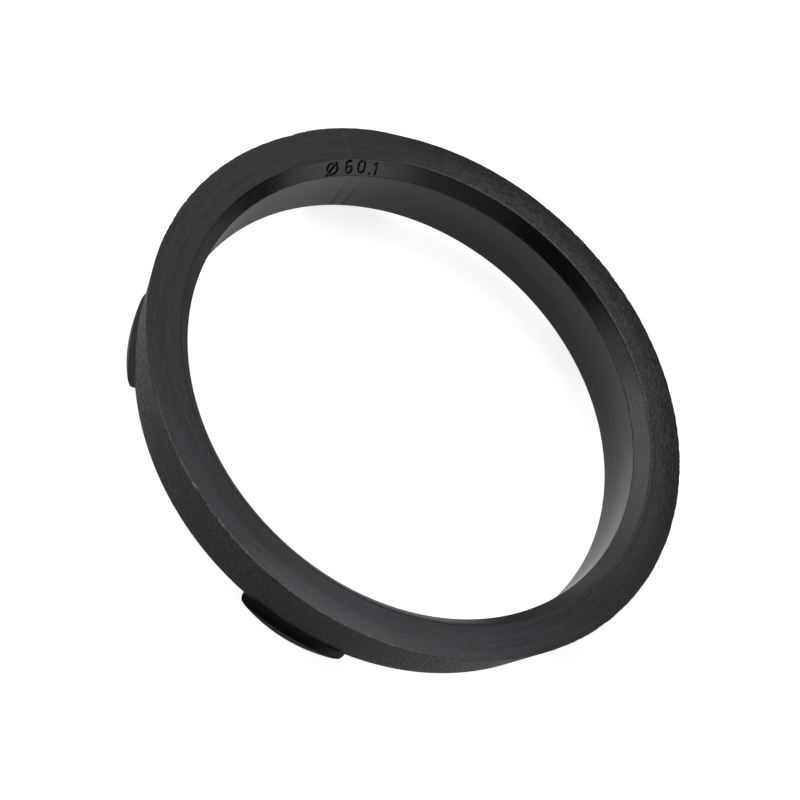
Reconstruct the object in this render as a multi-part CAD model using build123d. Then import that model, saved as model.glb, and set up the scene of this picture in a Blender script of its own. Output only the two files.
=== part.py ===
"""Hub centric ring: a moulded plastic ring that centres a wheel's bore on a smaller hub spigot.

The ring stands on its five snap lugs, with its axis on Z and the turned front face up. The middle of
one lug is on +X. The hub's spigot enters from the front through the lead-in chamfer, and the lugs hook
behind a lip in the wheel's bore.
"""
import os
from math import radians, tan

from build123d import *

# Driving dimensions, millimetres and degrees

BORE_D = 60.1        # bore, the size marked on the ring, a sliding fit on the hub's spigot
LEAD_W = 1.4         # lead-in chamfer, its width across the front face
LEAD_H = 1.7         # lead-in chamfer, its depth down the bore
FACE_W = 4.4         # flat front face, from the chamfer to the sharp rim
WALL_TAPER = 11.6    # slope of the outer wall, narrower towards the rear
BODY_H = 9.1         # front face to rear face
REAR_BREAK = 0.3     # small chamfer at the rear end of the bore
TAIL_ROUND = 0.55    # rounded outer edge of the rear face

LUG_COUNT = 5        # snap lugs, evenly spaced round the rear face
LUG_W = 13.7         # width of a lug along the ring
LUG_L = 2.4          # how far a lug stands behind the rear face
LUG_CROWN = 1.2      # how far the arched end of a lug stands proud of its corners
LUG_T = 1.6          # radial thickness of a lug at its nose
CORNER_R = 0.5       # rounded corners at both sides of a lug's arched end
NOSE_PROUD = 0.2     # how far a nose stands out past the end of the wall
NOSE_H = 1.0         # plain band on the outside of a nose
COVE_DEPTH = 0.6     # depth of the rounded groove between the wall and a nose

# Heights and radii that follow from them

rear_z = LUG_L
front_z = rear_z + BODY_H
bore_r = BORE_D / 2
rim_r = bore_r + LEAD_W + FACE_W
tail_r = rim_r - BODY_H * tan(radians(WALL_TAPER))
nose_r = tail_r + NOSE_PROUD
cove_r = tail_r - COVE_DEPTH
lug_in_r = nose_r - LUG_T
root_z = rear_z + TAIL_ROUND


def tapered_disc():
    """The outside of the ring: a flat front with a sharp rim, a tapered wall and a rounded rear edge."""
    section = Polyline(
        (0, 0, rear_z),
        (tail_r, 0, rear_z),
        (rim_r, 0, front_z),
        (0, 0, front_z),
        close=True,
    )
    disc = revolve(make_face(section), Axis.Z)
    rear_edge = disc.faces().sort_by(Axis.Z)[0].edges()
    return fillet(rear_edge, TAIL_ROUND)


def snap_lug():
    """One lug on +X: a tongue with an arched end, its nose set off from the wall by a rounded groove."""
    nose_top = (nose_r, 0, NOSE_H)
    cove_top = (cove_r, 0, rear_z)
    hook_section = [
        TangentArc(cove_top, nose_top, tangent=(0, 0, -1)),
        Polyline(nose_top, (nose_r, 0, 0), (lug_in_r, 0, 0), (lug_in_r, 0, root_z)),
        Polyline((lug_in_r, 0, root_z), (cove_r, 0, root_z), cove_top),
    ]
    hook_ring = revolve(make_face(hook_section), Axis.Z)

    half_w = LUG_W / 2
    tongue = make_face([
        ThreePointArc((0, -half_w, LUG_CROWN), (0, 0, 0), (0, half_w, LUG_CROWN)),
        Polyline((0, half_w, LUG_CROWN), (0, half_w, root_z), (0, -half_w, root_z), (0, -half_w, LUG_CROWN)),
    ])
    low_corners = tongue.vertices().sort_by(Axis.Z)[:2]
    tongue = fillet(low_corners, CORNER_R)
    return hook_ring & extrude(tongue, nose_r + LUG_T, dir=(1, 0, 0))


def turned_bore():
    """What is turned out of the middle: the straight bore, its lead-in chamfer and its broken rear edge."""
    section = Polyline(
        (0, 0, 0),
        (bore_r + REAR_BREAK, 0, 0),
        (bore_r + REAR_BREAK, 0, rear_z),
        (bore_r, 0, rear_z + REAR_BREAK),
        (bore_r, 0, front_z - LEAD_H),
        (bore_r + LEAD_W, 0, front_z),
        (0, 0, front_z),
        close=True,
    )
    return revolve(make_face(section), Axis.Z)


centring_ring = tapered_disc() + PolarLocations(0, LUG_COUNT) * snap_lug() - turned_bore()

os.makedirs("parts", exist_ok=True)
export_step(centring_ring, "parts/centring_ring.step")
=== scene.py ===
"""Hub centric ring: the looks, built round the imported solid. Metres, axis on Z, front face up."""
from collections import namedtuple
from functools import reduce
from math import cos, hypot, pi, radians, sin, sqrt, tan

import bmesh
import bpy
from mathutils import Euler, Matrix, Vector


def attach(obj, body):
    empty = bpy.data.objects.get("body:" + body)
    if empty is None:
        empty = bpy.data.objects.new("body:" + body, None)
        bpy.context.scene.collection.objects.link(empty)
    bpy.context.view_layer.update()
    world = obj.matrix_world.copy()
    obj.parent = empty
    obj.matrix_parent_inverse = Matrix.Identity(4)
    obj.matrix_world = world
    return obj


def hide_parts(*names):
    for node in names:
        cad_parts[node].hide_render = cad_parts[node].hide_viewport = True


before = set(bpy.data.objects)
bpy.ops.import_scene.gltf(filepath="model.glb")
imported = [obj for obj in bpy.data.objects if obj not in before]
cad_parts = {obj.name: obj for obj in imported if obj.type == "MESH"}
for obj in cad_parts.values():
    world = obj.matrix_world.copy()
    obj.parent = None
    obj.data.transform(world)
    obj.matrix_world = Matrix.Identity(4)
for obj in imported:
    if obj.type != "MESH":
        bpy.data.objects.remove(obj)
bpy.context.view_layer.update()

# The ring's section
#
# The ring is one shot of black plastic. Its wall and back come straight from the mould; the front face,
# the lead-in chamfer and the bore are turned afterwards. The section is swept round the axis further on.

MM = 0.001
BORE_R = 30.05 * MM
LEAD_W = 1.4 * MM           # lead-in chamfer, its width across the front face
LEAD_H = 1.7 * MM           # lead-in chamfer, its depth down the bore
RIM_R = 35.85 * MM
FRONT_Z = 11.5 * MM
REAR_Z = 2.4 * MM
WALL_TAPER = radians(11.6)  # slope of the outer wall, narrower towards the rear
REAR_BREAK = 0.3 * MM       # small chamfer at the rear end of the bore
TAIL_ROUND = 0.55 * MM      # rounded outer edge of the rear face
TURNED_EDGE = 0.04 * MM     # the small round that is left on a turned edge

LEAD_R = BORE_R + LEAD_W
LEAD_SLANT = hypot(LEAD_W, LEAD_H)
TAIL_R = RIM_R - (FRONT_Z - REAR_Z) * tan(WALL_TAPER)


def spaced(start, end, steps):
    """Points from start towards end, closer together at both ends, the end left out."""
    shares = [(1 - cos(pi * step / steps)) / 2 for step in range(steps)]
    return [tuple(s + (e - s) * share for s, e in zip(start, end)) for share in shares]


def rounded(corner, before, after, radius, steps=4):
    """Points of the small round between the two sides that meet in a corner."""
    start, end = (tuple(c + (s - c) * radius / hypot(side[0] - corner[0], side[1] - corner[1])
                        for c, s in zip(corner, side)) for side in (before, after))
    shares = [step / steps for step in range(steps + 1)]
    return [tuple((1 - t) ** 2 * s + 2 * t * (1 - t) * c + t * t * e
                  for s, c, e in zip(start, corner, end)) for t in shares]


def ring_section():
    """The cut section as (radius, height) points, from the rear edge of the bore round to it again."""
    corners = [
        ((BORE_R + REAR_BREAK, REAR_Z), TURNED_EDGE, 2),
        ((BORE_R, REAR_Z + REAR_BREAK), TURNED_EDGE, 6),
        ((BORE_R, FRONT_Z - LEAD_H), TURNED_EDGE, 4),
        ((LEAD_R, FRONT_Z), TURNED_EDGE, 8),
        ((RIM_R, FRONT_Z), TURNED_EDGE, 10),
        ((TAIL_R, REAR_Z), TAIL_ROUND, 4),
    ]
    points = []
    for index, (corner, radius, steps) in enumerate(corners):
        next_corner, next_radius, _ = corners[(index + 1) % len(corners)]
        bend = rounded(corner, corners[index - 1][0], next_corner, radius)
        stop = rounded(next_corner, corner, corners[(index + 2) % len(corners)][0], next_radius)[0]
        points += bend[:-1] + spaced(bend[-1], stop, steps)
    return points


def poly_curve(name, strokes):
    """A curve object of straight-run splines; each stroke is (points in a plane, closed)."""
    curve = bpy.data.curves.new(name, "CURVE")
    curve.dimensions = "3D"
    for points, closed in strokes:
        spline = curve.splines.new("POLY")
        spline.points.add(len(points) - 1)
        for point, (x, y) in zip(spline.points, points):
            point.co = (x, y, 0, 1)
        spline.use_cyclic_u = closed
    made = bpy.data.objects.new(name, curve)
    bpy.context.scene.collection.objects.link(made)
    return made


# A sweep takes the section's first axis outwards from its path, and its second axis downwards.
section = poly_curve("ring_section", [([(r - BORE_R, -z) for r, z in ring_section()], True)])


# The snap lugs
#
# Five tongues moulded on the back of the ring. A rounded groove below the wall takes a lip in the wheel,
# and the nose behind it hooks on. One lug is made here, on +X, and repeated round the axis further on.

LUG_COUNT = 5
LUG_W = 13.7 * MM
LUG_CROWN = 1.2 * MM        # how far the arched end stands proud of its corners
LUG_T = 1.6 * MM            # radial thickness at the nose
CORNER_R = 0.5 * MM
NOSE_PROUD = 0.2 * MM       # how far a nose stands out past the end of the wall
NOSE_H = 1.0 * MM
NOSE_EDGE = 0.12 * MM       # the small round along the end of a nose
COVE_DEPTH = 0.6 * MM
CORNER_STEPS, ARCH_STEPS, BAND_STEPS = 6, 40, 14
LUG_SEAM = 0.002 * MM       # points of the mesh closer than this become one

NOSE_R = TAIL_R + NOSE_PROUD
COVE_R = TAIL_R - COVE_DEPTH
LUG_IN_R = NOSE_R - LUG_T
LUG_TOP = REAR_Z + TAIL_ROUND


def lug_outer_r(z):
    """Radius of a lug's outside at this height: the plain nose band, then the rounded groove."""
    if z <= NOSE_H:
        return NOSE_R
    depth = NOSE_R - COVE_R
    arc_r = (depth ** 2 + (REAR_Z - NOSE_H) ** 2) / (2 * depth)
    return COVE_R + arc_r - sqrt(arc_r ** 2 - max(0, REAR_Z - z) ** 2)


def lug_end_z(y):
    """Height of a lug's arched end across its width, with the corners rounded."""
    half_w = LUG_W / 2
    arch_r = (half_w ** 2 + LUG_CROWN ** 2) / (2 * LUG_CROWN)
    inside = min(abs(y), half_w - CORNER_R)
    arch_z = arch_r - sqrt(arch_r ** 2 - inside ** 2)
    return arch_z + CORNER_R - sqrt(max(0, CORNER_R ** 2 - (abs(y) - inside) ** 2))


def lug_mesh():
    """A closed lug on +X whose root ends inside the body."""
    half_w = LUG_W / 2
    corner = [half_w - CORNER_R * (1 - sin(pi / 2 * step / CORNER_STEPS)) for step in range(CORNER_STEPS + 1)]
    arch = [-half_w + CORNER_R + (LUG_W - 2 * CORNER_R) * step / ARCH_STEPS for step in range(1, ARCH_STEPS)]
    shape = bmesh.new()
    loops = []
    for y in [-y for y in reversed(corner)] + arch + corner:
        end_z = lug_end_z(y)
        band_z = max(NOSE_H, end_z + NOSE_EDGE)
        heights = [REAR_Z + (band_z - REAR_Z) * step / BAND_STEPS for step in range(BAND_STEPS + 1)]
        outline = [(LUG_IN_R, LUG_TOP), (COVE_R, LUG_TOP)] + [(lug_outer_r(z), z) for z in heights]
        outer, inner = (lug_outer_r(end_z), end_z), (LUG_IN_R, end_z)
        outline += rounded(outer, outline[-1], inner, NOSE_EDGE)
        outline += rounded(inner, outer, outline[0], NOSE_EDGE)
        loops.append([shape.verts.new((sqrt(r * r - y * y), y, z)) for r, z in outline])
    for loop, following in zip(loops, loops[1:]):
        for index in range(len(loop)):
            after = (index + 1) % len(loop)
            shape.faces.new((loop[index], loop[after], following[after], following[index]))
    shape.faces.new(loops[0])
    shape.faces.new(loops[-1])
    bmesh.ops.remove_doubles(shape, verts=shape.verts, dist=LUG_SEAM)
    bmesh.ops.recalc_face_normals(shape, faces=shape.faces)
    mesh = bpy.data.meshes.new("snap_lug")
    shape.to_mesh(mesh)
    shape.free()
    return mesh


lug = bpy.data.objects.new("snap_lug", lug_mesh())
bpy.context.scene.collection.objects.link(lug)


# The size mark
#
# The bore's size, cut into the chamfer with a fine round-nosed cutter in strokes of one width: a diameter
# sign and plain numbers. The strokes are laid out flat here, in millimetres, and bent round the chamfer.

MARK_START = radians(228.5)
MARK_CUTTER_R = 0.19 * MM
MARK_SINK = 0.08 * MM       # how far below the chamfer the middle of the cutter ran
MARK_HEIGHT = 0.94          # share of the layout's heights that is cut
CUTTER_SIDES = 12


def oval(x, y, half_w, half_h, start=0, end=360, steps=28):
    """Points along an oval between two angles in degrees."""
    angles = [radians(start + (end - start) * step / steps) for step in range(steps + 1)]
    return [(x + half_w * cos(angle), y + half_h * sin(angle)) for angle in angles]


mark_strokes = [
    (oval(0.97, 1.08, 0.76, 0.80)[:-1], True),
    ([(0.06, 0.06), (1.70, 2.02)], False),
    (oval(3.44, 0.86, 0.43, 0.46)[:-1], True),
    (oval(3.47, 1.58, 0.46, 0.45, 50, 180) + [(3.01, 0.86)], False),
    (oval(5.26, 1.60, 0.44, 0.40, 0, 180) + oval(5.26, 0.84, 0.44, 0.40, 180, 360), True),
    ([(6.38, 0.32), (6.72, 0.32)], False),
    ([(7.08, 1.56), (7.46, 1.94), (7.36, 0.10)], False),
]
mark = poly_curve("size_mark", [([(x * MM, MARK_HEIGHT * y * MM) for x, y in points], closed)
                                for points, closed in mark_strokes])


# The plastic's finishes
#
# One black plastic that looks different by how each surface was made: turned (face, chamfer and bore),
# moulded against eroded or milled steel (wall and lugs) or cut (mark). Wear and tool marks lie over it, and
# so do painted sheen, highlights and reflection, and painted shade in the mark, the lugs and their roots.
# Sides of the ring are given in degrees round the axis, from +X.

RIM_WEAR = 0.2 * MM         # how far the rim is worn back on its worn side
WORN_SIDE = -15
TORN_SIDE = 150             # where the tool tore the face
SPECKS_AND_LIGHT_SIDE = 288           # where the wall is speckled, and where a lug gets painted light
WELD_SIDE = 221.6           # where two streams of plastic met in the mould
TORN_COLOUR = (0.1, 0.099, 0.102)
BURR_COLOUR = (0.17, 0.17, 0.173)
PIT_COLOUR = (0.0002, 0.0002, 0.0002)

Spot = namedtuple("Spot", "place x y z radius")


def wire(tree, kind, values=(), **settings):
    """A new node; each value is the socket or the constant that feeds the input of that name or index."""
    node = tree.nodes.new(kind)
    for name, setting in settings.items():
        setattr(node, name, setting)
    for key, value in dict(values).items():
        if isinstance(value, bpy.types.NodeSocket):
            tree.links.new(value, node.inputs[key])
        else:
            node.inputs[key].default_value = value
    return node


def maths(tree, operation, *values):
    """The result of one operation on numbers."""
    return wire(tree, "ShaderNodeMath", enumerate(values), operation=operation).outputs[0]


def times(tree, *values):
    """The product of all the numbers."""
    return reduce(lambda product, value: maths(tree, "MULTIPLY", product, value), values)


def vectors(tree, operation, *values, out=0):
    """The result of one operation on vectors; out is 1 where it is a number."""
    return wire(tree, "ShaderNodeVectorMath", enumerate(values), operation=operation).outputs[out]


def scaled(tree, vector, scale):
    """A vector or a colour times a number."""
    return wire(tree, "ShaderNodeVectorMath", {0: vector, "Scale": scale}, operation="SCALE").outputs[0]


def combine(tree, x=0, y=0, z=0):
    """A vector from its three coordinates."""
    return wire(tree, "ShaderNodeCombineXYZ", enumerate((x, y, z))).outputs[0]


def ramp(tree, value, low, high, to_low=0, to_high=1):
    """The value eased from one range into another, and held at its ends."""
    return wire(tree, "ShaderNodeMapRange", enumerate((value, low, high, to_low, to_high)),
                interpolation_type="SMOOTHSTEP").outputs[0]


def noise(tree, place, scale, detail=2.0, roughness=0.5):
    """Smooth random values between 0 and 1."""
    return wire(tree, "ShaderNodeTexNoise", {"Vector": place, "Scale": scale, "Detail": detail,
                                             "Roughness": roughness}).outputs[0]


def blend_colour(tree, share, plain, changed):
    """One colour going over into another; colours are sockets or (red, green, blue)."""
    plain, changed = ((*c, 1) if isinstance(c, tuple) else c for c in (plain, changed))
    return wire(tree, "ShaderNodeMix", {0: share, 6: plain, 7: changed}, data_type="RGBA").outputs[2]


def on_ring(tree, place=None):
    """Where on the ring: the point, its three coordinates and its distance from the axis."""
    if place is None:
        place = wire(tree, "ShaderNodeTexCoord").outputs["Object"]
    x, y, z = wire(tree, "ShaderNodeSeparateXYZ", {0: place}).outputs
    return Spot(place, x, y, z, vectors(tree, "LENGTH", combine(tree, x, y), out=1))


def facing(tree, spot, degrees, low, high, to_low=0, to_high=1):
    """A value that changes towards one side of the ring, between two cosines of the angle off that side."""
    side = (cos(radians(degrees)), sin(radians(degrees)), 0)
    cosine = maths(tree, "DIVIDE", vectors(tree, "DOT_PRODUCT", spot.place, side, out=1), spot.radius)
    return ramp(tree, cosine, low, high, to_low, to_high)


def worn_back(tree, spot, depth):
    """How far the rim is worn back here: by the depth on its worn side, and not at all opposite."""
    return facing(tree, spot, WORN_SIDE, 0.3, 0.85, 0, depth)


def rim_distance(tree, radius, z):
    """The distance from the sharp corner between the face and the wall."""
    outwards, up = maths(tree, "SUBTRACT", radius, RIM_R), maths(tree, "SUBTRACT", z, FRONT_Z)
    return vectors(tree, "LENGTH", combine(tree, outwards, 0, up), out=1)


def lug_turn(tree, spot):
    """The angle round the axis times the number of lugs: a whole turn from one lug to the next."""
    return times(tree, maths(tree, "ARCTAN2", spot.y, spot.x), LUG_COUNT)


def effect(name, inputs, output):
    """An empty shader node group with named number sockets, and its input sockets."""
    group = bpy.data.node_groups.new(name, "ShaderNodeTree")
    for title in inputs:
        group.interface.new_socket(title, in_out="INPUT", socket_type="NodeSocketFloat")
    group.interface.new_socket(output, in_out="OUTPUT", socket_type="NodeSocketFloat")
    return group, group.nodes.new("NodeGroupInput").outputs


def tool_lines():
    """Lines left by a tool that ran round the axis: fine across the cut and long along it."""
    group, given = effect("Tool lines", ("Along", "Across"), "Lines")
    spot = on_ring(group)
    stretched = combine(group, times(group, spot.x, given["Along"]), times(group, spot.y, given["Along"]),
                        times(group, maths(group, "ADD", spot.radius, spot.z), given["Across"]))
    wire(group, "NodeGroupOutput", {"Lines": noise(group, stretched, 1.0, 3.0, 0.65)})
    return group


def torn_rim():
    """Pale ragged plastic along the rim, where the turning tool tore it; most of it on the +X side."""
    group, given = effect("Torn rim", ("Width", "Elsewhere"), "Torn")
    spot = on_ring(group)
    radius = maths(group, "ADD", spot.radius, worn_back(group, spot, RIM_WEAR))
    ragged = ramp(group, noise(group, spot.place, 900.0, 3.0, 0.6), 0.3, 0.7, 0.35, 1.5)
    torn = ramp(group, rim_distance(group, radius, spot.z), 0, times(group, ragged, given["Width"]), 1, 0)
    near = facing(group, spot, -14, 0.76, 0.92, given["Elsewhere"], 1)
    wire(group, "NodeGroupOutput", {"Torn": times(group, torn, near)})
    return group


def weld_line():
    """Where two streams of plastic met in the mould: one line, or two at a distance from the middle."""
    group, given = effect("Weld line", ("Angle", "Apart", "Width"), "Line")
    turned = wire(group, "ShaderNodeVectorRotate",
                  {"Vector": on_ring(group).place, "Angle": times(group, given["Angle"], -1)},
                  rotation_type="Z_AXIS").outputs[0]
    ahead, aside, _ = wire(group, "ShaderNodeSeparateXYZ", {0: turned}).outputs
    off = maths(group, "SUBTRACT", maths(group, "ABSOLUTE", aside), given["Apart"])
    line = ramp(group, maths(group, "ABSOLUTE", off), 0, given["Width"], 1, 0)
    this_side = maths(group, "GREATER_THAN", ahead, 0)
    wire(group, "NodeGroupOutput", {"Line": times(group, line, this_side)})
    return group


TOOL_LINES, TORN_RIM, WELD_LINE = tool_lines(), torn_rim(), weld_line()


def place_effect(tree, group, **values):
    """The effect's output in this material, with its own values."""
    return wire(tree, "ShaderNodeGroup", values, node_tree=group).outputs[0]


def plastic(name, specular):
    """A plastic material: its node tree and its shader."""
    material = bpy.data.materials.new(name)
    material.use_nodes = True
    shader = material.node_tree.nodes["Principled BSDF"]
    shader.inputs["Specular IOR Level"].default_value = specular
    return material, material.node_tree, shader


def finish_plastic(tree, shader, colour, roughness, height, relief):
    """Feeds the shader's colour, roughness and fine relief, in metres."""
    tree.links.new(colour, shader.inputs["Base Color"])
    tree.links.new(roughness, shader.inputs["Roughness"])
    bump = wire(tree, "ShaderNodeBump", {"Height": height, "Distance": relief, "Strength": 1.0})
    tree.links.new(bump.outputs[0], shader.inputs["Normal"])


def torn_colour(tree, spot, colour, torn):
    """The colour with the torn rim over it, and the paler burrs on that."""
    colour = blend_colour(tree, torn, colour, TORN_COLOUR)
    burrs = times(tree, torn, ramp(tree, noise(tree, spot.place, 1400.0, 1.0), 0.56, 0.66))
    return blend_colour(tree, burrs, colour, BURR_COLOUR)


def grazing_roughness(tree, roughness, most):
    """The roughness of a cut surface, which looks duller the flatter it is seen."""
    grazing = wire(tree, "ShaderNodeLayerWeight", {"Blend": 0.5}).outputs["Facing"]
    return maths(tree, "ADD", roughness, ramp(tree, grazing, 0.35, 0.85, 0, most))


def face_finish():
    """The turned face: tool lines, a torn and mottled far side, a pale rim, a weld line, painted sheen on the
    near and far sides, and painted highlight and shade along the chamfer.
    """
    feed = 0.3 * MM
    material, tree, shader = plastic("turned_face", 0.4)
    spot = on_ring(tree)
    lines = place_effect(tree, TOOL_LINES, Along=130, Across=3000)
    bands = place_effect(tree, TOOL_LINES, Along=40, Across=900)
    streaks = maths(tree, "MULTIPLY_ADD", bands, 0.5, times(tree, lines, 0.5))
    far = facing(tree, spot, 138, 0.1, 0.75)
    rimward = ramp(tree, spot.radius, RIM_R - 3.2 * MM, RIM_R - 0.6 * MM)

    # The tool's streaks, and painted sheen that makes the far side paler along the chamfer.
    colour = blend_colour(tree, ramp(tree, streaks, 0.36, 0.64),
                          (0.0122, 0.013, 0.0162), (0.036, 0.038, 0.0462))
    pale = times(tree, far, maths(tree, "SUBTRACT", 1, rimward), 0.6)
    colour = blend_colour(tree, pale, colour, (0.06, 0.0622, 0.068))

    # Mottle and pits where the tool tore the face.
    torn_side = facing(tree, spot, TORN_SIDE, 0.2, 0.75)
    outer = ramp(tree, spot.radius, LEAD_R + 0.8 * MM, RIM_R - 1.4 * MM, 0.27, 0.58)
    elsewhere = facing(tree, spot, 95, 0.6, 0.95, 0.34, 0.1)
    grain = ramp(tree, place_effect(tree, TOOL_LINES, Along=1000, Across=5200), 0.46, 0.56)
    mottle = times(tree, grain, maths(tree, "MULTIPLY_ADD", torn_side, outer, elsewhere))
    colour = blend_colour(tree, mottle, colour, (0.003, 0.0032, 0.004))
    pits = ramp(tree, place_effect(tree, TOOL_LINES, Along=900, Across=4400), 0.54, 0.58)
    pits = times(tree, pits, torn_side, ramp(tree, spot.radius, RIM_R - 3.6 * MM, RIM_R - 1.6 * MM, 0, 0.8))
    colour = blend_colour(tree, pits, colour, (0.002, 0.002, 0.003))

    # A stretch darker towards one side, painted sheen on the near side and the weld line.
    darker_stretch = facing(tree, spot, 250, 0.3, 0.9, 0, 0.22)
    colour = blend_colour(tree, darker_stretch, colour, (0.003, 0.0033, 0.005))
    sheen_wedge = facing(tree, spot, 14, 0.82, 1.0, 0, 0.36)
    near_rim = maths(tree, "ADD", facing(tree, spot, -6, 0.5, 1.0, 0, 0.38),
                     facing(tree, spot, 0, 0.94, 1.0, 0, 0.42))
    painted_near_sheen = maths(tree, "ADD", sheen_wedge, times(tree, rimward, near_rim))
    painted_near_sheen = times(tree, painted_near_sheen, ramp(tree, streaks, 0.3, 0.7, 0.7, 1.2))
    colour = blend_colour(tree, painted_near_sheen, colour, (0.081, 0.083, 0.092))
    weld = place_effect(tree, WELD_LINE, Angle=radians(WELD_SIDE), Apart=0, Width=0.45 * MM)
    colour = blend_colour(tree, times(tree, weld, 0.26), colour, (0.06, 0.058, 0.066))

    # Painted shade along the chamfer edge on the near side, and a painted highlight along it on the far side.
    inner_edge = ramp(tree, spot.radius, LEAD_R + 0.04 * MM, LEAD_R + 0.22 * MM, 1, 0)
    edge_shade = times(tree, inner_edge, facing(tree, spot, -20, 0, 0.5, 0, 0.8))
    colour = blend_colour(tree, edge_shade, colour, (0.003, 0.003, 0.004))
    off_line = maths(tree, "ABSOLUTE", maths(tree, "SUBTRACT", spot.radius, LEAD_R + 0.18 * MM))
    edge_highlight = times(tree, ramp(tree, off_line, 0, 0.22 * MM, 0.75, 0), far)
    colour = blend_colour(tree, edge_highlight, colour, (0.1, 0.1, 0.106))

    # The torn rim, and flecks near it.
    torn = place_effect(tree, TORN_RIM, Width=0.3 * MM, Elsewhere=0.08)
    colour = torn_colour(tree, spot, colour, torn)
    flecks = ramp(tree, noise(tree, spot.place, 2200.0, 1.0), 0.68, 0.74, 0, 0.5)
    flecks = times(tree, flecks, rimward, facing(tree, spot, WORN_SIDE, 0.4, 0.9))
    colour = blend_colour(tree, flecks, colour, TORN_COLOUR)

    # Fine speckle, and the ridges of the tool's feed where they show.
    speckle = ramp(tree, noise(tree, spot.place, 4200.0, 1.0), 0.3, 0.7, -1, 1)
    speckled = facing(tree, spot, TORN_SIDE, 0.45, 0.8, 0.13, 0.62)
    colour = scaled(tree, colour, maths(tree, "MULTIPLY_ADD", speckle, speckled, 1))
    ridges = maths(tree, "SINE", times(tree, spot.radius, 2 * pi / feed))
    patches = ramp(tree, noise(tree, spot.place, 500.0), 0.35, 0.6, 0.65, 1)
    feeds = times(tree, ridges, facing(tree, spot, 88, 0.72, 0.97, 0.1, 0.6), patches)
    colour = blend_colour(tree, ramp(tree, feeds, 0.1, 0.4, 0, 0.8), colour, (0.006, 0.0063, 0.0075))

    roughness = ramp(tree, streaks, 0.35, 0.65, 0.4, 0.54)
    roughness = maths(tree, "MAXIMUM", roughness, times(tree, pits, 0.9))
    height = maths(tree, "ADD", feeds, maths(tree, "MULTIPLY_ADD", mottle, 0.6, lines))
    finish_plastic(tree, shader, colour, roughness, height, 0.02 * MM)
    return material


def chamfer_finish():
    """The lead-in chamfer, cut with a coarser tool whose lines break up its gloss, with a painted highlight
    and a painted reflection on two stretches.
    """
    material, tree, shader = plastic("turned_chamfer", 0.28)
    shader.inputs["Specular Tint"].default_value = (0.92, 0.96, 1.0, 1)
    spot = on_ring(tree)
    lines = place_effect(tree, TOOL_LINES, Along=260, Across=5200)
    colour = blend_colour(tree, ramp(tree, lines, 0.3, 0.7),
                          (0.003, 0.0032, 0.0038), (0.007, 0.0074, 0.0086))
    # Painted highlight on the near side, strongest along the bore's edge.
    scrape_and_highlight = times(tree, ramp(tree, spot.z, FRONT_Z - 0.9 * MM, FRONT_Z - 0.3 * MM, 1, 0.2),
                    facing(tree, spot, 8, 0.82, 0.97))
    painted_light = facing(tree, spot, -35, 0.75, 0.9, 0, 0.2)
    colour = blend_colour(tree, maths(tree, "MAXIMUM", scrape_and_highlight, painted_light), colour, (0.11, 0.11, 0.117))
    # Painted reflection: one stretch of the chamfer a little lighter.
    lit_stretch = facing(tree, spot, 80, 0.965, 0.995)
    colour = blend_colour(tree, lit_stretch, colour, (0.018, 0.0185, 0.02))
    round_mark = facing(tree, spot, 226, 0.93, 0.98)
    colour = blend_colour(tree, round_mark, colour, (0.022, 0.0228, 0.026))
    roughness = grazing_roughness(tree, ramp(tree, lines, 0.3, 0.7, 0.22, 0.32), 0.6)
    dulled = facing(tree, spot, 46, 0.94, 0.99, 0, 0.24)
    roughness = maths(tree, "ADD", roughness, dulled)
    finish_plastic(tree, shader, colour, roughness, lines, 0.025 * MM)
    return material


def bore_finish():
    """The turned bore: finer lines, smoother, with two weld lines down it; painted reflection makes it paler
    towards the front, and a painted highlight lies on one side.
    """
    material, tree, shader = plastic("turned_bore", 0.2)
    spot = on_ring(tree)
    front = FRONT_Z - LEAD_H
    lines = place_effect(tree, TOOL_LINES, Along=60, Across=5200)
    # Painted reflection: the colour pales towards the front and is near black at the rear.
    forward = ramp(tree, spot.z, REAR_Z + 2 * MM, front, 0, 0.8)
    pale = maths(tree, "MULTIPLY_ADD", ramp(tree, lines, 0.3, 0.7), 0.2, forward)
    colour = blend_colour(tree, pale, (0.001, 0.001, 0.001), (0.042, 0.0434, 0.0426))
    # A painted highlight on one side, towards the front.
    painted_highlight_side = facing(tree, spot, 80, 0.8, 1, 0, 0.56)
    colour = blend_colour(tree, times(tree, forward, painted_highlight_side), colour, (0.13, 0.13, 0.13))
    front_edge = ramp(tree, spot.z, front - 0.2 * MM, front - 0.08 * MM)
    colour = blend_colour(tree, front_edge, colour, (0.002, 0.002, 0.002))

    # The weld lines are pale near the front, and dull and dark behind.
    dull_weld = place_effect(tree, WELD_LINE, Angle=radians(WELD_SIDE - 2.6), Apart=0.9 * MM, Width=0.7 * MM)
    dull_weld = times(tree, dull_weld, maths(tree, "SUBTRACT", 0.95, forward))
    colour = blend_colour(tree, dull_weld, colour, (0.0005, 0.0005, 0.0005))
    pale_weld = place_effect(tree, WELD_LINE, Angle=radians(WELD_SIDE - 1.6), Apart=0.9 * MM, Width=0.35 * MM)
    pale_weld = times(tree, pale_weld, maths(tree, "MULTIPLY_ADD", forward, 0.4, 0.12))
    colour = blend_colour(tree, pale_weld, colour, (0.08, 0.081, 0.079))

    dull_side = facing(tree, spot, 256, 0.8, 1, 0.1, 0.26)
    roughness = grazing_roughness(tree, ramp(tree, lines, 0.3, 0.7, 0.24, 0.32), dull_side)
    roughness = maths(tree, "MAXIMUM", roughness, times(tree, front_edge, 0.7))
    roughness = maths(tree, "MAXIMUM", roughness, times(tree, dull_weld, 0.55))
    finish_plastic(tree, shader, colour, roughness, lines, 0.004 * MM)
    return material


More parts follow.
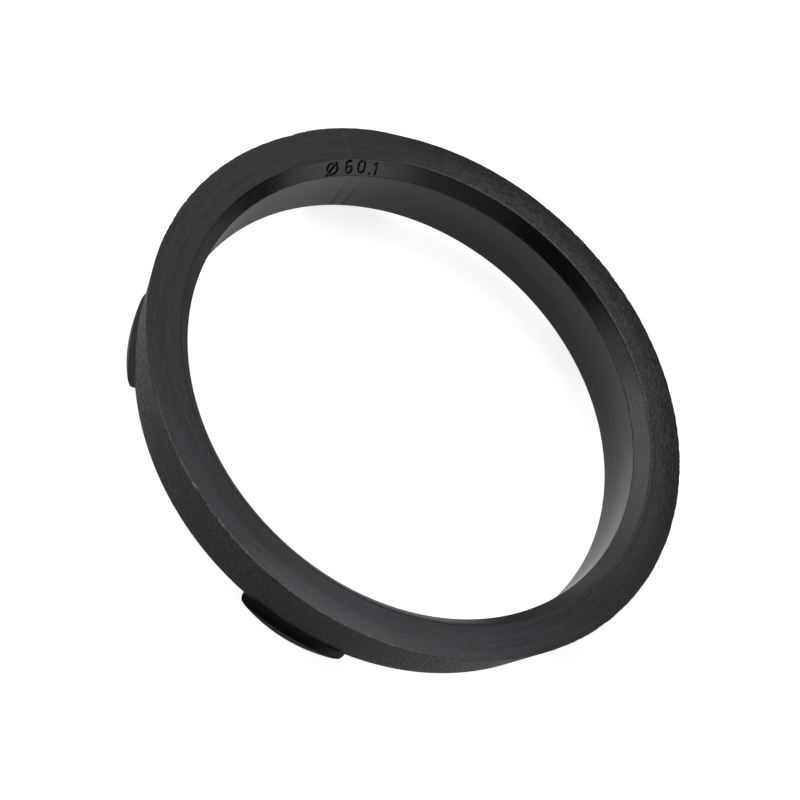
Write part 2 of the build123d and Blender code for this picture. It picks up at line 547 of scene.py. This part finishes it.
def wall_finish():
    """Straight from the mould: the fine spark-eroded grain of its walls, the torn rim at the top, and painted
    shade over the lugs' roots.
    """
    material, tree, shader = plastic("moulded_wall", 0.045)
    spot = on_ring(tree)
    grain = noise(tree, vectors(tree, "MULTIPLY", spot.place, (1, 1, 0.7)), 3000.0, 2.0, 0.65)
    colour = blend_colour(tree, ramp(tree, grain, 0.45, 0.6), PIT_COLOUR, (0.031, 0.031, 0.0297))

    # Slanted drag marks on one side, and pale and dark specks on another.
    round_wall = times(tree, maths(tree, "ARCTAN2", spot.y, spot.x), RIM_R)
    slanted = maths(tree, "MULTIPLY_ADD", spot.z, 0.6, round_wall)
    dragged = noise(tree, combine(tree, times(tree, slanted, 4600), times(tree, spot.z, 600)), 1.0)
    drags = times(tree, ramp(tree, dragged, 0.45, 0.62, 0, 0.75), facing(tree, spot, 33, 0.92, 0.98))
    colour = blend_colour(tree, drags, colour, (0.055, 0.055, 0.052))
    specks = noise(tree, vectors(tree, "MULTIPLY", spot.place, (1, 1, 0.3)), 4200.0, 1.0)
    specks = ramp(tree, specks, 0.36, 0.56)
    speckled = facing(tree, spot, SPECKS_AND_LIGHT_SIDE, 0.86, 0.96, 0, 0.62)
    colour = blend_colour(tree, times(tree, specks, speckled), colour, (0.045, 0.045, 0.0435))
    pepper = times(tree, maths(tree, "SUBTRACT", 1, specks), speckled)
    colour = blend_colour(tree, pepper, colour, PIT_COLOUR)

    # The torn rim at the top, and painted shade over the roots of the lugs at the bottom.
    torn = place_effect(tree, TORN_RIM, Width=0.2 * MM, Elsewhere=0.08)
    colour = torn_colour(tree, spot, colour, torn)
    over_lugs = ramp(tree, maths(tree, "COSINE", lug_turn(tree, spot)), 0.4, 0.75)
    root = times(tree, ramp(tree, spot.z, REAR_Z + 0.5 * MM, REAR_Z + 2.9 * MM, 1, 0), over_lugs)
    colour = blend_colour(tree, root, colour, (0.0005, 0.0005, 0.0005))

    roughness = maths(tree, "MAXIMUM", ramp(tree, grain, 0.36, 0.64, 0.5, 0.65), root)
    roughness = maths(tree, "MAXIMUM", roughness, pepper)
    finish_plastic(tree, shader, colour, roughness, grain, 0.09 * MM)
    return material


def lug_finish():
    """The lugs, smooth from a milled part of the mould whose fine lines run along the ring; near black as
    painted shade in their grooves, with painted light on the nose and ends.
    """
    material, tree, shader = plastic("moulded_lug", 0.06)
    spot = on_ring(tree)
    lines = place_effect(tree, TOOL_LINES, Along=120, Across=5000)
    colour = blend_colour(tree, ramp(tree, lines, 0.3, 0.7), (0.001, 0.001, 0.001), (0.003, 0.003, 0.0027))

    # Across runs from -1 to 1 over a lug's width; the nose band follows the arched end.
    turn = lug_turn(tree, spot)
    aside = maths(tree, "ARCTAN2", maths(tree, "SINE", turn), maths(tree, "COSINE", turn))
    aside = maths(tree, "DIVIDE", aside, LUG_COUNT)
    across = times(tree, aside, maths(tree, "DIVIDE", spot.radius, LUG_W / 2))
    end_z = times(tree, maths(tree, "POWER", maths(tree, "ABSOLUTE", across), 2), LUG_CROWN)
    nose = ramp(tree, maths(tree, "SUBTRACT", spot.z, end_z), 0.3 * NOSE_H, 1.5 * NOSE_H, 1, 0)

    # Painted light: the nose band a little paler, one lug lit grey, and the right end of the near lug paler
    # still.
    lit_lug = facing(tree, spot, SPECKS_AND_LIGHT_SIDE, 0.9, 0.97, 0, 0.65)
    painted_light = maths(tree, "MAXIMUM", times(tree, nose, 0.16), lit_lug)
    colour = blend_colour(tree, painted_light, colour, (0.034, 0.034, 0.0312))
    near_lug = facing(tree, spot, 5, 0.8, 0.95)
    one_end = times(tree, nose, near_lug, ramp(tree, across, 0.3, 1, 0, 0.8),
                    ramp(tree, lines, 0.35, 0.65, 0.5, 1))
    colour = blend_colour(tree, one_end, colour, (0.09, 0.09, 0.084))
    finish_plastic(tree, shader, colour, ramp(tree, lines, 0.3, 0.7, 0.38, 0.5), lines, 0.006 * MM)
    return material


def mark_shade_finish():
    """The floor of the cut mark, matt, and darker than the chamfer around it as painted shade in the grooves.
    """
    material, tree, shader = plastic("cut_mark", 0.05)
    scrape_and_highlight = noise(tree, on_ring(tree).place, 3000.0)
    colour = blend_colour(tree, ramp(tree, scrape_and_highlight, 0.35, 0.65),
                          (0.0005, 0.0005, 0.0006), (0.003, 0.003, 0.0033))
    finish_plastic(tree, shader, colour, ramp(tree, scrape_and_highlight, 0.35, 0.65, 0.6, 0.75), scrape_and_highlight, 0.01 * MM)
    return material


# The ring
#
# The section swept round the axis, with the rim torn a little by the turning tool, the lugs moulded on
# and the size mark cut. All of it is one piece, made by one node tree from the inputs listed here.

WELD_SWELL = 0.22 * MM      # how far the rim is swollen where two streams of plastic met
WELD_REACH = 4 * MM         # how far from the rim the swelling ends
SLIVER = 0.001 * MM         # faces thinner than this are dissolved
SHARP_ANGLE = radians(32)   # edges that turn by more than this stay sharp

RING_INPUTS = (
    ("Columns", "Int", 1440),
    ("Lug", "Object", lug),
    ("Lug Count", "Int", LUG_COUNT),
    ("Mark", "Object", mark),
    ("Mark Start", "Float", MARK_START),
    ("Cutter Radius", "Float", MARK_CUTTER_R),
    ("Tear Depth", "Float", 0.09 * MM),
    ("Tear Reach", "Float", 0.45 * MM),
    ("Tear Seed", "Float", 3.0),
    ("Rim Wear", "Float", RIM_WEAR),
    ("Weld Swell", "Float", WELD_SWELL),
    ("Face", "Material", face_finish()),
    ("Chamfer", "Material", chamfer_finish()),
    ("Bore", "Material", bore_finish()),
    ("Wall", "Material", wall_finish()),
    ("Lug Finish", "Material", lug_finish()),
    ("Mark Finish", "Material", mark_shade_finish()),
)


def swept_body(tree, given):
    """The section swept round the axis."""
    path = wire(tree, "GeometryNodeCurvePrimitiveCircle", {"Resolution": given["Columns"], "Radius": BORE_R})
    return wire(tree, "GeometryNodeCurveToMesh",
                {"Curve": path.outputs["Curve"], "Profile Curve": given["Section"]}).outputs[0]


def torn_body(tree, given, spot, outwards, body):
    """The body with its rim torn in small bites that thin out over longer stretches."""
    seeded = {"Vector": spot.place, "W": given["Tear Seed"]}
    bites = wire(tree, "ShaderNodeTexNoise", {**seeded, "Scale": 1000, "Detail": 3, "Roughness": 0.65},
                 noise_dimensions="4D").outputs[0]
    stretches = wire(tree, "ShaderNodeTexNoise", {**seeded, "Scale": 60, "Detail": 1},
                     noise_dimensions="4D").outputs[0]
    at_rim = ramp(tree, rim_distance(tree, spot.radius, spot.z), 0, given["Tear Reach"], 1, 0)
    depth = times(tree, ramp(tree, bites, 0.42, 0.72), ramp(tree, stretches, 0.35, 0.65, 0.25, 1), at_rim,
                  given["Tear Depth"])
    pull = vectors(tree, "ADD", vectors(tree, "MULTIPLY", outwards, (-1, -1, -1)), (0, 0, -0.6))
    return wire(tree, "GeometryNodeSetPosition",
                {"Geometry": body, "Offset": scaled(tree, pull, depth)}).outputs[0]


def worn_body(tree, given, spot, outwards, body):
    """The body with its rim worn back on one side, and swollen where two streams of plastic met."""
    near_rim = times(tree, ramp(tree, spot.z, REAR_Z, FRONT_Z),
                     ramp(tree, spot.radius, LEAD_R + 1 * MM, RIM_R - 0.5 * MM))
    worn = times(tree, worn_back(tree, spot, given["Rim Wear"]), near_rim)
    swollen = times(tree, facing(tree, spot, WELD_SIDE, 0.97, 1, 0, given["Weld Swell"]),
                    ramp(tree, rim_distance(tree, spot.radius, spot.z), 0, WELD_REACH, 1, 0))
    spread = scaled(tree, outwards, maths(tree, "SUBTRACT", swollen, worn))
    return wire(tree, "GeometryNodeSetPosition", {"Geometry": body, "Offset": spread}).outputs[0]


def lugged_body(tree, given, body):
    """The body with the lugs moulded on, evenly round the back."""
    spots = wire(tree, "GeometryNodeMeshLine", {"Count": given["Lug Count"], "Offset": (0, 0, 0)}).outputs[0]
    index = tree.nodes.new("GeometryNodeInputIndex").outputs[0]
    turn = times(tree, index, maths(tree, "DIVIDE", 2 * pi, given["Lug Count"]))
    one_lug = wire(tree, "GeometryNodeObjectInfo", {"Object": given["Lug"]}).outputs["Geometry"]
    lugs = wire(tree, "GeometryNodeInstanceOnPoints",
                {"Points": spots, "Instance": one_lug, "Rotation": combine(tree, 0, 0, turn)}).outputs[0]
    lugs = wire(tree, "GeometryNodeRealizeInstances", {0: lugs}).outputs[0]
    union = wire(tree, "GeometryNodeMeshBoolean", {"Mesh 2": body}, operation="UNION", solver="MANIFOLD")
    tree.links.new(lugs, union.inputs["Mesh 2"])
    return union.outputs["Mesh"]


def marked_body(tree, given, spot, body):
    """The body with the mark bent round its chamfer and cut out of it."""
    angle = maths(tree, "SUBTRACT", given["Mark Start"], maths(tree, "DIVIDE", spot.x, BORE_R + LEAD_W / 2))
    foot_r = BORE_R + MARK_SINK * LEAD_H / LEAD_SLANT
    foot_z = FRONT_Z - LEAD_H - MARK_SINK * LEAD_W / LEAD_SLANT
    slant_r = maths(tree, "MULTIPLY_ADD", spot.y, LEAD_W / LEAD_SLANT, foot_r)
    slant_z = maths(tree, "MULTIPLY_ADD", spot.y, LEAD_H / LEAD_SLANT, foot_z)
    bent = combine(tree, times(tree, slant_r, maths(tree, "COSINE", angle)),
                   times(tree, slant_r, maths(tree, "SINE", angle)), slant_z)
    strokes = wire(tree, "GeometryNodeObjectInfo", {"Object": given["Mark"]}).outputs["Geometry"]
    strokes = wire(tree, "GeometryNodeSetPosition", {"Geometry": strokes, "Position": bent}).outputs[0]
    cutter = wire(tree, "GeometryNodeCurvePrimitiveCircle",
                  {"Resolution": CUTTER_SIDES, "Radius": given["Cutter Radius"]}).outputs["Curve"]
    grooves = wire(tree, "GeometryNodeCurveToMesh",
                   {"Curve": strokes, "Profile Curve": cutter, "Fill Caps": True}).outputs[0]
    grooves = wire(tree, "GeometryNodeMeshBoolean", {"Mesh 2": grooves, "Self Intersection": True},
                   operation="UNION", solver="EXACT").outputs["Mesh"]
    return wire(tree, "GeometryNodeMeshBoolean", {"Mesh 1": body, "Mesh 2": grooves},
                operation="DIFFERENCE", solver="MANIFOLD").outputs["Mesh"]


def finished_body(tree, given, spot, outwards, body):
    """The body with each finish on its own surfaces, told apart by their place and the way they face."""
    normal = tree.nodes.new("GeometryNodeInputNormal").outputs[0]
    up = wire(tree, "ShaderNodeSeparateXYZ", {0: normal}).outputs[2]
    on_face = times(tree, maths(tree, "GREATER_THAN", up, 0.9),
                    maths(tree, "GREATER_THAN", spot.z, FRONT_Z - 0.5 * MM))
    in_bore = maths(tree, "LESS_THAN", spot.radius, LEAD_R - TURNED_EDGE)
    on_chamfer = times(tree, in_bore, maths(tree, "GREATER_THAN", spot.z, FRONT_Z - LEAD_H))
    chamfer_normal = vectors(tree, "ADD", vectors(tree, "MULTIPLY", outwards, (-LEAD_H / LEAD_SLANT,) * 3),
                             (0, 0, LEAD_W / LEAD_SLANT))
    turned_away = maths(tree, "LESS_THAN", vectors(tree, "DOT_PRODUCT", normal, chamfer_normal, out=1), 0.93)
    off_middle = maths(tree, "ABSOLUTE", maths(tree, "SUBTRACT", spot.z, FRONT_Z - LEAD_H / 2))
    in_mark = times(tree, turned_away, maths(tree, "LESS_THAN", off_middle, LEAD_H / 2 - 0.06 * MM), in_bore)
    on_lug = maths(tree, "LESS_THAN", spot.z, REAR_Z - 0.02 * MM)

    body = wire(tree, "GeometryNodeRealizeInstances", {0: body}).outputs[0]
    for finish, surfaces in (("Wall", True), ("Face", on_face), ("Bore", in_bore), ("Chamfer", on_chamfer),
                             ("Mark Finish", in_mark), ("Lug Finish", on_lug)):
        body = wire(tree, "GeometryNodeSetMaterial",
                    {"Geometry": body, "Selection": surfaces, "Material": given[finish]}).outputs[0]
    return body


def ring_tree():
    """The node tree that makes the ring from its section, and the identifiers of its named inputs."""
    tree = bpy.data.node_groups.new("Moulded ring", "GeometryNodeTree")
    identifiers = {}
    for name, kind, _ in (("Section", "Geometry", None), *RING_INPUTS):
        socket = tree.interface.new_socket(name, in_out="INPUT", socket_type="NodeSocket" + kind)
        identifiers[name] = socket.identifier
    tree.interface.new_socket("Ring", in_out="OUTPUT", socket_type="NodeSocketGeometry")
    given = tree.nodes.new("NodeGroupInput").outputs

    spot = on_ring(tree, tree.nodes.new("GeometryNodeInputPosition").outputs[0])
    outwards = vectors(tree, "NORMALIZE", combine(tree, spot.x, spot.y))
    body = swept_body(tree, given)
    body = torn_body(tree, given, spot, outwards, body)
    body = worn_body(tree, given, spot, outwards, body)
    body = lugged_body(tree, given, body)
    body = marked_body(tree, given, spot, body)
    body = finished_body(tree, given, spot, outwards, body)
    wire(tree, "NodeGroupOutput", {0: body})
    return tree, identifiers


sweep = section.modifiers.new("Moulded ring", "NODES")
sweep.node_group, identifiers = ring_tree()
for name, _, value in RING_INPUTS:
    sweep[identifiers[name]] = value
bpy.context.view_layer.update()
ring_mesh = bpy.data.meshes.new_from_object(section.evaluated_get(bpy.context.evaluated_depsgraph_get()))
for scaffold in (section, lug, mark):
    bpy.data.objects.remove(scaffold)

# The first material slot is empty, and the cuts leave many-sided faces and a few slivers.
ring_mesh.materials.pop(index=0)
shape = bmesh.new()
shape.from_mesh(ring_mesh)
bmesh.ops.triangulate(shape, faces=[face for face in shape.faces if len(face.verts) > 4])
bmesh.ops.dissolve_degenerate(shape, edges=shape.edges, dist=SLIVER)
shape.to_mesh(ring_mesh)
shape.free()
ring_mesh.shade_smooth()
ring_mesh.set_sharp_from_angle(angle=SHARP_ANGLE)

ring = bpy.data.objects.new("moulded_ring", ring_mesh)
bpy.context.scene.collection.objects.link(ring)
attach(ring, "root")
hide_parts("centring_ring")


# The floor
#
# A square of white paper that the ring stands on with the ends of its lugs. It takes the ring's faint
# shadow, and a glow that only the camera, gloss and glass see brings it up to white.

FLOOR_HALF = 0.65
FLOOR_Z = -0.01 * MM
PAPER_COLOUR = (0.8, 0.8, 0.8, 1)
PAPER_GLOW = 0.77
WHITE = (1, 1, 1, 1)

floor_mesh = bpy.data.meshes.new("floor")
corners = [(FLOOR_HALF * x, FLOOR_HALF * y, FLOOR_Z) for x, y in ((-1, -1), (1, -1), (1, 1), (-1, 1))]
floor_mesh.from_pydata(corners, [], [(0, 1, 2, 3)])
floor = bpy.data.objects.new("floor", floor_mesh)
bpy.context.scene.collection.objects.link(floor)

paper = bpy.data.materials.new("white_paper")
paper.use_nodes = True
paper_tree = paper.node_tree
paper_tree.nodes.clear()
rays = wire(paper_tree, "ShaderNodeLightPath").outputs
seen = maths(paper_tree, "MAXIMUM", rays["Is Camera Ray"], rays["Is Glossy Ray"])
seen = maths(paper_tree, "MAXIMUM", seen, rays["Is Transmission Ray"])
strength = times(paper_tree, seen, PAPER_GLOW)
glow = wire(paper_tree, "ShaderNodeEmission", {"Color": WHITE, "Strength": strength})
matt = wire(paper_tree, "ShaderNodeBsdfDiffuse", {"Color": PAPER_COLOUR})
both = wire(paper_tree, "ShaderNodeAddShader", {0: matt.outputs[0], 1: glow.outputs[0]})
wire(paper_tree, "ShaderNodeOutputMaterial", {"Surface": both.outputs[0]})
floor_mesh.materials.append(paper)


# The light
#
# Five soft boxes stand low round the floor, one hangs over it and one higher up behind it; the camera
# doesn't see them. The room beyond gives no light, and is white to the camera.

BOX_DISTANCE = 1.0
BOX_HEIGHT = 0.55
BOXES = (
    # name, degrees round the axis, degrees up, width, watts
    ("box_255", 255, 20, 0.8, 5.1),
    ("box_292", 292, 20, 0.64, 2.9),
    ("box_75", 75, 20, 0.8, 3.2),
    ("box_210", 210, 20, 0.8, 2.9),
    ("box_30", 30, 20, 0.8, 1.1),
    ("top_box", 165, 74, 0.8, 2.2),
    ("back_box", 165, 50, 0.8, 0.6),
)
for name, azimuth, elevation, width, watts in BOXES:
    data = bpy.data.lights.new(name, "AREA")
    data.shape = "RECTANGLE"
    data.size, data.size_y, data.energy = width, BOX_HEIGHT, watts
    lamp = bpy.data.objects.new(name, data)
    az, el = radians(azimuth), radians(elevation)
    lamp.location = Vector((cos(az) * cos(el), sin(az) * cos(el), sin(el))) * BOX_DISTANCE
    lamp.rotation_euler = lamp.location.to_track_quat("Z", "Y").to_euler()
    lamp.visible_camera = False
    bpy.context.scene.collection.objects.link(lamp)

room = bpy.data.worlds.new("room")
room.use_nodes = True
room_tree = room.node_tree
room_tree.nodes.clear()
rays = wire(room_tree, "ShaderNodeLightPath").outputs
air = wire(room_tree, "ShaderNodeBackground", {"Color": WHITE, "Strength": rays["Is Camera Ray"]})
wire(room_tree, "ShaderNodeOutputWorld", {"Surface": air.outputs[0]})
bpy.context.scene.world = room
bpy.context.scene.view_settings.view_transform = "Standard"


# The camera
#
# A long lens from above the near side, rolled so that the ring leans in the frame as in the photograph.
# Its place, turn and focal length come from a fit of the ring's edges in perspective.

lens = bpy.data.cameras.new("camera")
lens.sensor_width = 36
lens.lens = 87.015
camera = bpy.data.objects.new("camera", lens)
camera.location = (0.144718, -0.039346, 0.189285)
camera.rotation_euler = Euler((radians(30.2386), radians(-26.1319), radians(112.1295)))
bpy.context.scene.collection.objects.link(camera)
bpy.context.scene.camera = camera
